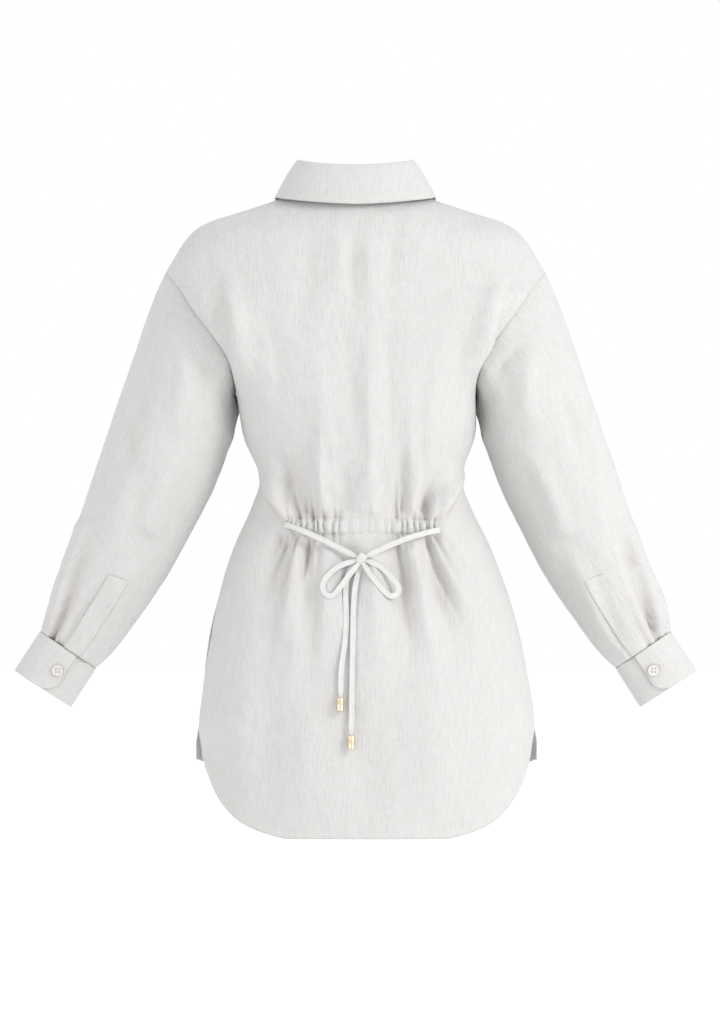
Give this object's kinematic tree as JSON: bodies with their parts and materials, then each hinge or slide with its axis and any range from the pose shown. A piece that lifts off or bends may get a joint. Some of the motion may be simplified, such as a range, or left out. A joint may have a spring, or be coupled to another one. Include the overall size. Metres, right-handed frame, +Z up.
{
  "type": "linen shirt",
  "caption": "Long-sleeved linen tunic shirt, filled out, with a collar, buttoned cuffs, side slits and a back waist gathered by a tied drawstring.",
  "frame": {"origin": "middle of the neck base, level with the shoulder seams at the neck, where the wearer's shoulders hold the shirt", "axes": "+Z up, -Y the buttoned front, +X the wearer's left"},
  "size_m": [0.8568, 0.2719, 0.8459],
  "materials": {
    "linen": "off-white slubbed linen, matt",
    "string": "flat strap of the same linen",
    "tips": "pale polished metal",
    "buttons": "off-white, softly glossy"
  },
  "bodies": {
    "root": {"back": "linen", "front_left": "linen", "front_right": "linen", "front_placket": "linen", "collar_stand": "linen", "collar_fall": "linen", "sleeve_left": "linen", "sleeve_right": "linen", "sleeve_placket_left": "linen", "sleeve_placket_right": "linen", "cuff_left": "linen", "cuff_right": "linen", "casing": "linen", "string_left": "string", "string_right": "string", "loop_left": "string", "loop_right": "string", "knot": "string", "tail_left": "string", "tail_right": "string", "tip_left": "tips", "tip_right": "tips", "front_button_1": "buttons", "front_button_2": "buttons", "front_button_3": "buttons", "front_button_4": "buttons", "front_button_5": "buttons", "front_button_6": "buttons", "front_button_7": "buttons", "collar_button": "buttons", "cuff_button_left": "buttons", "cuff_button_right": "buttons"}
  },
  "joints": []
}
